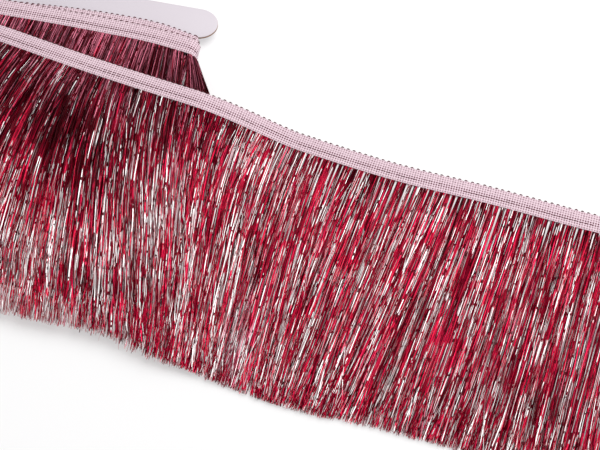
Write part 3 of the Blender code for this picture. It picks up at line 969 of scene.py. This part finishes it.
def lock_places(draw, locks, per_lock, top):
    """Each strand's lock, place across it from -0.5 to 0.5, layer in the pile, and turn in the tones.

    The top strands lie side by side so that each is seen, and they take turns at painted shade and
    painted glints. The rest fill the pile below them.
    """
    lock = np.repeat(np.arange(locks), per_lock)
    number = np.tile(np.arange(per_lock), locks)
    count = len(lock)
    on_top = number < top
    even = (number + 0.5 + draw.uniform(-TOP_JITTER, TOP_JITTER, count)) / top - 0.5
    across = np.where(on_top, even, draw.random(count) - 0.5)
    layer = np.where(on_top, draw.uniform(*TOP_LAYERS, count), draw.uniform(*FILL_LAYERS, count))
    phase = 2 * math.pi * (lock * top + number) / TONE_CYCLE
    return lock, across, layer, np.cos(phase + draw.normal(0, TONE_JITTER, count))


def strand_roots(place):
    """Where each strand starts, inside the lower edge of the heading, with its directions there."""
    point, width, outward, forward = route.at(place)
    return point - width * (TAPE_WIDTH / 2 - ROOT_TUCK), outward, forward


def twisting(draw, count, share):
    """Twist angle of each strand at each step."""
    phase = draw.normal(0, FACING_SPREAD, count)
    turns = draw.normal(0, SLOW_TWIST, count)[:, None]
    waves = draw.uniform(1.0, 3.0, count)[:, None]
    start = draw.uniform(0, 2 * math.pi, count)[:, None]
    wobble = WOBBLE_TWIST * np.sin(2 * math.pi * waves * share + start)
    return phase[:, None] + 2 * math.pi * (turns * share + wobble)


def strand_half_width(draw, count, share):
    """Half of each strand's width at each step. A few strands are nearly twice as wide."""
    width = np.clip(STRAND_WIDTH * np.exp(draw.normal(0, WIDTH_SPREAD, count)), *WIDTH_LIMITS)
    return width[:, None] / 2 * (1 - TIP_NARROWING * ease((share - 0.94) / 0.06))


# %% [markdown]
# ## The fringe of the loose run
#
# The strands are gathered in small locks where the stitching holds them, and spread as they hang. They
# start inside the heading, follow the same lean and drape as the solid, and end in a ragged cut. A few
# in each lock stray across their neighbours, and towards the left, where the run lies over the card,
# they tangle a little more.

# %% Where the run's strands start
RUN_LOCKS = 150
RUN_STRANDS_PER_LOCK = 52
RUN_TOP_STRANDS = 12
LOCK_SHIFT = 0.09
ROOT_SHARES = (0.55, 0.97)
OPENING_SHARES = (0.08, 0.42)
QUIET_END = 45 * MM
QUIET_LEAST = 0.2
TANGLE_FROM = 60 * MM
TANGLE_TO = 200 * MM
LOCK_SWAY = 1.0
STRAND_SWAY = 0.4
TANGLE_SWAY = 3.0
STRAY_SHARE = 0.05
STRAY_LEAN = 4.0
STRAY_WIDTH = 0.6


def place_run_strands(draw):
    """Lock, root, layer and sway of each of the run's strands, by name."""
    start, end = route.span("run")
    start += CLEARANCE
    pitch = (end - start) / RUN_LOCKS
    lock, across, layer, turn = lock_places(draw, RUN_LOCKS, RUN_STRANDS_PER_LOCK, RUN_TOP_STRANDS)
    count = len(lock)
    middle = np.arange(RUN_LOCKS) + 0.5 + draw.uniform(-LOCK_SHIFT, LOCK_SHIFT, RUN_LOCKS)
    root_share = draw.uniform(*ROOT_SHARES, RUN_LOCKS)[lock]
    opening = draw.uniform(*OPENING_SHARES, RUN_LOCKS)[lock]
    place = np.clip(start + pitch * middle[lock] + pitch * root_share * across, start, end)
    root, _, _ = strand_roots(place)
    quiet = ease(np.minimum(place - start, end - place) / QUIET_END) * (1 - QUIET_LEAST) + QUIET_LEAST
    lock_sway = np.convolve(draw.normal(0, LOCK_SWAY, RUN_LOCKS + 4), np.ones(3) / 3, "same")[2:-2]
    stray = draw.random(count) < STRAY_SHARE
    tangle = 1 - ease((root[:, 0] - TANGLE_FROM) / (TANGLE_TO - TANGLE_FROM))
    sway = lock_sway[lock] + draw.normal(0, STRAND_SWAY, count) * (1 + TANGLE_SWAY * tangle)
    sway = (sway + stray * draw.normal(0, STRAY_LEAN, count)) * quiet
    return dict(
        lock=lock, across=across * pitch, layer=layer, turn=turn, root=root, root_share=root_share,
        opening=opening, quiet=quiet, stray=stray, tangle=tangle, sway=sway,
    )


# %% How the run's strands hang
RUN_STEPS = 25
RUN_PILE = 2.3 * MM
ROOT_PILE = 0.35
LEAST_HEIGHT = 0.1 * MM
EXTRA_LENGTH = 1.5 * MM
RAGGED_CUT = 3.5 * MM
FULL_SHARE = 1.08
SLOW_BEND = 0.9 * MM
WAVE_SIZE = 0.14 * MM
WAVE_COUNTS = (1.5, 4.5)
TANGLE_WAVES = 1.5
TIP_STRAY = 2.4 * MM
STRAY_LAYERS = (0.9, 1.15)
STRAND_LIFT = 0.1 * MM


def hang_value(root, name, scale=1.0):
    """One column of the table of how the run's strands lie, at each root."""
    places = column(HANG, HANG_COLUMNS, "x")
    return np.interp(root[:, 0], places, column(HANG, HANG_COLUMNS, name, scale))


def hanging_lines(root, reach, share, sway):
    """Points down each strand, and the way to its right. Its lean changes from root to middle to tip."""
    knots = [(hang_value(root, name) + sway)[:, None] for name in ("root", "middle", "tip")]
    first_half = knots[0] + (knots[1] - knots[0]) * share * 2
    second_half = knots[1] + (knots[2] - knots[1]) * (share * 2 - 1)
    lean = np.radians(np.where(share < 0.5, first_half, second_half))
    way = np.stack([np.sin(lean), -np.cos(lean), np.zeros_like(lean)], axis=-1)
    right_way = np.stack([np.cos(lean), np.sin(lean), np.zeros_like(lean)], axis=-1)
    moves = (way[:, 1:] + way[:, :-1]) / 2 * (reach[:, None] * np.diff(share))[..., None]
    return root[:, None] + np.pad(np.cumsum(moves, axis=1), ((0, 0), (1, 0), (0, 0))), right_way


def hang_run_strands(draw, strands, share):
    """Centre lines of the run's strands, and the length of each."""
    count = len(strands["lock"])
    quiet = strands["quiet"][:, None]
    length = LOCK_LENGTH + STRIP_WIDTH + EXTRA_LENGTH - RAGGED_CUT * draw.random(count) ** 1.5
    length = length + hang_value(strands["root"], "longer", MM)
    lines, side = hanging_lines(strands["root"], length, share, strands["sway"])
    spreading = (FULL_SHARE - strands["root_share"]) * strands["across"]
    bend = spreading[:, None] * ease(share / strands["opening"][:, None])
    bend = bend + draw.normal(0, SLOW_BEND, count)[:, None] * quiet * share**2
    wave = np.abs(draw.normal(0, WAVE_SIZE, count)) * (1 + TANGLE_WAVES * strands["tangle"])
    angle = 2 * math.pi * draw.uniform(*WAVE_COUNTS, count)[:, None] * share
    angle = angle + draw.uniform(0, 6, count)[:, None]
    bend = bend + wave[:, None] * np.sin(angle) * ease(share * 3)
    bend = bend + draw.normal(0, TIP_STRAY, count)[:, None] * quiet * ease((share - 0.78) / 0.3)
    lines = lines + side * bend[..., None]
    layer = np.where(strands["stray"], draw.uniform(*STRAY_LAYERS, count), strands["layer"])
    pile = RUN_PILE * (ROOT_PILE + (1 - ROOT_PILE) * ease(share / 0.12)) * layer[:, None]
    lift = np.abs(draw.normal(0, STRAND_LIFT, count))[:, None] * np.sin(math.pi * share) ** 2
    lines[..., 2] = run_underside(lines) + LEAST_HEIGHT + pile + lift
    return lines, length


# %% Tones of the run's strands, with their painted shade and painted glints
ROOT_PAINTED_SHADE = 0.7
ROOT_PAINTED_SHADE_SHARE = 0.16
ROOT_ROSE = 0.5
ROOT_ROSE_SHARE = 0.35
ROSE_FROM = 60 * MM
ROSE_REACH = 60 * MM


def run_tones(strands, lines, share):
    """How much painted shade, painted glint and rose each strand has at each step."""
    turn = strands["turn"][:, None]
    painted_shade = soft_patches(lines, PAINTED_SHADE_PATCHES)
    # Painted shade just under the heading, where its edge shades the strands' roots
    shade_at_root = ROOT_PAINTED_SHADE * (1 - ease(share / ROOT_PAINTED_SHADE_SHARE))
    painted_shade = painted_shade + np.maximum(shade_at_root - painted_shade.clip(0), 0)
    to_left = 1 - ease((strands["root"][:, 0] - ROSE_FROM) / ROSE_REACH)
    root_rose = ROOT_ROSE * to_left[:, None] * (1 - ease(share / ROOT_ROSE_SHARE))
    # Painted shade and painted glints from the patches, the roots and the turns of the tones
    return {
        "painted_shade": painted_shade - PAINTED_SHADE_TURN * turn,
        "bright": soft_patches(lines, PAINTED_GLINT_PATCHES) + PAINTED_GLINT_TURN * turn,
        "rose": soft_patches(lines, ROSE_PATCHES) + root_rose,
    }


# %% Strands of the loose run
RUN_PIECES = 3


def make_run_strands():
    """The loose run's strands, as a few pieces side by side."""
    draw = np.random.default_rng(31)
    share = np.linspace(0, 1, RUN_STEPS)
    strands = place_run_strands(draw)
    lines, length = hang_run_strands(draw, strands, share)
    count = len(lines)
    twist = twisting(draw, count, share)
    narrower = np.where(strands["stray"], STRAY_WIDTH, 1.0)[:, None]
    half_width = strand_half_width(draw, count, share) * narrower
    marks = run_tones(strands, lines, share)
    marks["along_mm"] = length[:, None] * share / MM
    marks["strand_seed"] = draw.random(count)[:, None]
    pieces = []
    for part in range(RUN_PIECES):
        chosen = (strands["lock"] * RUN_PIECES) // RUN_LOCKS == part
        chosen_marks = {key: value[chosen] for key, value in marks.items()}
        name = f"run_strands_{part + 1}"
        piece = ribbons(name, lines[chosen], half_width[chosen], twist[chosen], FACE_UP, chosen_marks)
        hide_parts("fringe_run")
        tell_triangles(piece)
        pieces.append(piece)
    return pieces


run_strands = make_run_strands()

# %% [markdown]
# ## The fringe of the wound turns
#
# The two turns on the card carry the same strands. They hang straight down the card, and at the card's
# edges they bend round with the fold and flare out a little. Only the outermost turn shows much, so it
# has the most strands.

# %% How the wound strands hang
LOCK_SHARE = 0.78
FOLD_LENGTH = 124 * MM
FOLD_DROOP = 0.15
FLARE_LEAST = 0.4
FLARE_SPREAD = (0.75, 1.05)
FLARE_PLACES = np.array([0.0, 0.08, 0.35, 1.0])
FLARE_SHAPE = np.array([0.05, 0.3, 1.0, 0.5])
FAN_START = 48 * MM
WOUND_STEPS = 17
WOUND_TOP_STRANDS = 14
WOUND_SWAY = 1.3
WOUND_BEND = 1.2 * MM

# The fan is how many more degrees the strands lean at the right-hand end of a stretch
WOUND_COLUMNS = ("name", "locks", "per_lock", "degrees", "fan", "length", "flare", "droop", "tip_sag")
WOUND = (
    ("inner_front", 14, 18, 2, 0, LOCK_LENGTH, 0, 0, 0),
    ("inner_right_fold", 2, 20, 6, 0, FOLD_LENGTH, 0, FOLD_DROOP, 0),
    ("inner_back", 14, 18, 6, 0, LOCK_LENGTH, 0, 0, 0),
    ("inner_left_fold", 2, 20, 2, 0, FOLD_LENGTH, 0, FOLD_DROOP, 0),
    ("outer_front", 42, 62, 2, 13, LOCK_LENGTH, 0, 0, 1.0 * MM),
    ("outer_right_fold", 5, 90, 6, 0, FOLD_LENGTH, 22 * MM, FOLD_DROOP, 0),
    ("outer_back", 32, 32, 6, 0, LOCK_LENGTH, 0, 0, 0),
    ("outer_left_fold", 5, 80, -4, 0, FOLD_LENGTH, -4 * MM, FOLD_DROOP, 0),
)


def wound_places(stretch, lock, across):
    """Where along the trim each strand of a stretch starts. Neighbouring locks stay a little apart."""
    start, end = route.span(stretch["name"])
    pitch = (end - start) / stretch["locks"]
    return start + pitch * (lock + 0.5 + LOCK_SHARE * across)


def wound_lines(draw, stretch, place, layer, share):
    """Centre lines of the strands on one stretch of the wound trim."""
    count = len(place)
    root, outward, forward = strand_roots(place)
    towards_right = ease((card_place(root)[0] - FAN_START) / (WAIST_HALF_WIDTH - FAN_START))
    lean = stretch["degrees"] + stretch["fan"] * towards_right + draw.normal(0, WOUND_SWAY, count)
    lean = np.radians(lean)
    down = np.stack([np.sin(lean), -np.cos(lean), np.zeros(count)], axis=-1)
    reach = stretch["length"] + STRIP_WIDTH - RAGGED_CUT * draw.random(count)
    lines = root[:, None] + down[:, None] * (reach[:, None] * share)[..., None]
    sideways = on_card(1.0, 0.0, 0.0)
    fan = stretch["flare"] * (FLARE_LEAST + (1 - FLARE_LEAST) * np.abs(outward @ sideways))
    fan = (fan * draw.uniform(*FLARE_SPREAD, count))[:, None]
    lines += sideways * (fan * smooth_curve(FLARE_PLACES, FLARE_SHAPE, share))[..., None]
    bend = draw.normal(0, WOUND_BEND, count)[:, None] * share**2
    lines += forward[:, None] * bend[..., None]
    lines[..., 2] *= 1 - stretch["droop"] * share
    lines[..., 2] -= stretch["tip_sag"] * share**2
    thickness = WOUND_THICKNESS * (0.4 + 0.6 * ease(share / 0.1)) * (1 - 0.4 * share)
    lines += outward[:, None] * ((layer - 0.5)[:, None] * thickness)[..., None]
    return lines, np.broadcast_to(outward[:, None], lines.shape)


# %% Strands of the wound turns
# Painted shade on the wound turns, deeper down the first part of each strand towards the loose run's
# heading, and fewer painted glints
WOUND_PAINTED_SHADE = 0.45
WOUND_SHADE_DOWN_STRAND = 1.6
WOUND_GLINT_CHANGE = -0.18
WOUND_ROSE = 0.75
WOUND_ROSE_FADE = 0.35


def make_wound_strands():
    """All strands of the two turns, in one piece."""
    draw = np.random.default_rng(32)
    share = np.linspace(0, 1, WOUND_STEPS)
    parts = []
    for row in WOUND:
        stretch = dict(zip(WOUND_COLUMNS, row))
        sizes = (stretch["locks"], stretch["per_lock"], WOUND_TOP_STRANDS)
        lock, across, layer, turn = lock_places(draw, *sizes)
        place = wound_places(stretch, lock, across)
        parts.append((*wound_lines(draw, stretch, place, layer, share), turn))
    lines, outward, turn = (np.concatenate(group) for group in zip(*parts))
    count = len(lines)
    twist = twisting(draw, count, share)
    half_width = strand_half_width(draw, count, share)
    length = np.linalg.norm(np.diff(lines, axis=1), axis=-1).sum(axis=1)
    # Painted shade and painted glints of the wound strands
    marks = {
        "painted_shade": WOUND_PAINTED_SHADE + WOUND_SHADE_DOWN_STRAND * share.clip(0, 0.4) - PAINTED_SHADE_TURN * turn[:, None],
        "bright": WOUND_GLINT_CHANGE,
        "rose": WOUND_ROSE - WOUND_ROSE_FADE * share,
        "along_mm": length[:, None] * share / MM,
        "strand_seed": draw.random(count)[:, None],
    }
    piece = ribbons("wound_strands", lines, half_width, twist, outward, marks)
    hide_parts("fringe_wound")
    return piece


wound_strands = make_wound_strands()
tell_triangles(wound_strands)

# %% [markdown]
# ## The foil's material
#
# The foil is crimson metal under a clear film. Seen square on it is a deep red mirror, and where the film
# catches the lamp it turns white. Those white glints are painted into the colour. Masks of broken
# lengths share the work: brighter red and rose lengths of the red; maroon lengths, partly deep red foil
# and partly painted shade; long streaks of painted glint in white and a dimmer grey; and short lengths
# of painted shade where a strand turns edge on. Each strand has its own seed, so no two break alike.

# %% The foil's colours, with its painted glints and painted shade, and its masks
FOIL_CRIMSON = (0.37, 0.004, 0.027)
FOIL_BRIGHT_RED = (0.52, 0.009, 0.052)
# Maroon: partly deep red foil, partly painted shade between strands and where a strand turns edge on
MAROON_AND_SHADE = (0.065, 0.0010, 0.005)
FOIL_ROSE = (0.46, 0.12, 0.18)
# Painted glints: white where the clear film catches the lamp, and a dimmer pinkish grey
GLINT_WHITE = (0.98, 0.96, 0.96)
GLINT_GREY = (0.48, 0.33, 0.36)
FILM_TINT = (1.0, 0.35, 0.42)
FOIL_ROUGHNESS = 0.34
RED_METAL = 0.5
GLINT_METAL = 0.2

# Each mask of broken lengths: its grain in millimetres, what sets it apart from the others, its softness
MASKS = {
    "bright_red": (40.0, 0.37, 0.12),
    "rose": (70.0, 0.71, 0.12),
    "maroon": (45.0, 1.13, 0.06),
    "glint_white": (30.0, 2.17, 0.12),
    "glint_streak": (28.0, 4.19, 0.05),
    "edge_on_shade": (4.5, 3.31, 0.06),
}

# How much of a strand each covers, and how much more or less where the fringe has painted shade
BRIGHT_RED_SHARE = 0.35
ROSE_SHARE = 0.08
MAROON_SHARE = 0.27
MAROON_IN_PAINTED_SHADE = 0.45
GLINT_WHITE_SHARE = 0.75
GLINT_STREAK_SHARE = 0.20
GLINTS_IN_PAINTED_SHADE = -0.29
EDGE_ON_SHADE_SHARE = 0.20
# How far painted shade darkens the red
PAINTED_SHADE_DEPTH = -0.6


# %% The foil
def make_foil():
    material, tree, shader = new_material("crimson_foil", FOIL_ROUGHNESS, RED_METAL)
    shader.inputs["Specular IOR Level"].default_value = 0.1
    shader.inputs["Specular Tint"].default_value = (*FILM_TINT, 1.0)
    shader.inputs["Coat Weight"].default_value = 0.03
    shader.inputs["Coat Roughness"].default_value = 0.12
    # Marks on the mesh: how far down the strand, its seed, its share of painted glints, its painted shade
    # and its rose
    names = ("along_mm", "strand_seed", "bright", "painted_shade", "rose")
    along, seed, bright, painted_shade, rose = (mark(tree, name) for name in names)

    def lengths(name, share):
        grain, apart, softness = MASKS[name]
        own = maths(tree, "ADD", seed, apart)
        sizes = {"share": share, "grain": grain, "softness": softness}
        return use_group(tree, broken_lengths, along=along, seed=own, **sizes)["Mask"]

    red = mixed(tree, lengths("bright_red", BRIGHT_RED_SHARE), FOIL_CRIMSON, FOIL_BRIGHT_RED)
    red = mixed(tree, lengths("rose", maths(tree, "ADD", rose, ROSE_SHARE)), red, FOIL_ROSE)
    maroon_share = maths(tree, "MULTIPLY_ADD", painted_shade, MAROON_IN_PAINTED_SHADE, MAROON_SHARE)
    red = mixed(tree, lengths("maroon", maroon_share), red, MAROON_AND_SHADE)
    # Painted shade darkens the red, and where it is below zero it paints light
    shade = maths(tree, "MULTIPLY_ADD", painted_shade, PAINTED_SHADE_DEPTH, 1.0)
    painted_shade_grey = tree.nodes.new("ShaderNodeCombineColor")
    for socket in painted_shade_grey.inputs:
        tree.links.new(shade, socket)
    red = mixed(tree, 1.0, red, painted_shade_grey.outputs[0], "MULTIPLY")
    # Painted glints: white and grey streaks where the film would catch the lamp, fewer under painted
    # shade
    glint_colour = mixed(tree, lengths("glint_white", GLINT_WHITE_SHARE), GLINT_GREY, GLINT_WHITE)
    least = maths(tree, "ADD", bright, GLINT_STREAK_SHARE)
    glint_streak = lengths("glint_streak", maths(tree, "MULTIPLY_ADD", painted_shade, GLINTS_IN_PAINTED_SHADE, least))
    colour = mixed(tree, glint_streak, red, glint_colour)
    # Painted shade: short dark lengths where a strand turns edge on
    colour = mixed(tree, lengths("edge_on_shade", EDGE_ON_SHADE_SHARE), colour, MAROON_AND_SHADE)
    tree.links.new(colour, shader.inputs["Base Color"])
    metal = maths(tree, "MULTIPLY_ADD", glint_streak, GLINT_METAL - RED_METAL, RED_METAL)
    tree.links.new(metal, shader.inputs["Metallic"])
    return material


foil = make_foil()
for piece in (*run_strands, wound_strands):
    piece.data.materials.append(foil)
print("materials:", sorted(material.name for material in bpy.data.materials))

# %% [markdown]
# ## What is cloth
#
# The heading is the one sheet of cloth here. Its flat size is the length of the whole trim by the width
# of the tape, and the strands, stitches and edge loops are the pieces on it.

# %% [markdown]
# ## Table and light
#
# The trim lies on a plain pale table that reads as pure white. One large soft lamp hangs above and behind
# it, where flat foil mirrors it to the camera, a wider one fills in from the right, and an even glow from
# all round keeps the shadows light.

# %% Table
TABLE_SIZE = 6.0
TABLE_DROP = 0.2 * MM
TABLE_ROUGHNESS = 0.9
TABLE_COLOUR = (0.50, 0.50, 0.50)
TABLE_GLOW_COLOUR = (1.0, 0.99, 0.995)
TABLE_GLOW = 0.43

half = TABLE_SIZE / 2
table_mesh = bpy.data.meshes.new("table_top")
corners = [(-half, -half, 0.0), (half, -half, 0.0), (half, half, 0.0), (-half, half, 0.0)]
table_mesh.from_pydata(corners, [], [(0, 1, 2, 3)])
table_top = add_object("table_top", table_mesh)
table_top.location.z = -TABLE_DROP
table_material, _, table_shader = new_material("table_white", TABLE_ROUGHNESS)
table_shader.inputs["Base Color"].default_value = (*TABLE_COLOUR, 1.0)
table_shader.inputs["Specular IOR Level"].default_value = 0.1
table_shader.inputs["Emission Color"].default_value = (*TABLE_GLOW_COLOUR, 1.0)
table_shader.inputs["Emission Strength"].default_value = TABLE_GLOW
table_mesh.materials.append(table_material)
table_top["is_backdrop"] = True

# %% Lamps
KEY_SIZE = 1.2
KEY_DISTANCE = 1.35
KEY_POWER = 16
KEY_WAY = (0.22, 0.44, 0.87)
FILL_SIZE = 2.2
FILL_DISTANCE = 1.8
FILL_POWER = 13.5
FILL_WAY = (0.50, 0.42, 0.76)
SKY_STRENGTH = 0.40


def add_lamp(name, way, distance, size, power):
    """A square soft lamp that looks at the middle of the view."""
    lamp = add_object(name, bpy.data.lights.new(name, "AREA"))
    lamp.data.shape = "SQUARE"
    lamp.data.size = size
    lamp.data.energy = power
    way = Vector(way).normalized()
    lamp.location = aim + way * distance
    lamp.rotation_euler = way.to_track_quat("Z", "Y").to_euler()


add_lamp("key_lamp", KEY_WAY, KEY_DISTANCE, KEY_SIZE, KEY_POWER)
add_lamp("fill_lamp", FILL_WAY, FILL_DISTANCE, FILL_SIZE, FILL_POWER)

world = bpy.data.worlds.new("studio_glow")
world.use_nodes = True
sky = world.node_tree.nodes["Background"]
sky.inputs["Color"].default_value = (1.0, 1.0, 1.0, 1.0)
sky.inputs["Strength"].default_value = SKY_STRENGTH
bpy.context.scene.world = world
bpy.context.scene.view_settings.view_transform = "Standard"
bpy.context.scene.view_settings.look = "None"

# %% Compare sizes and finish
bounds = {
    "cad": [list(corner) for corner in cad_bounds],
    "visual": [list(corner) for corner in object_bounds()],
}
for name, (low, high) in bounds.items():
    print(name, "box in mm:", [round((b - a) / MM, 1) for a, b in zip(low, high)])
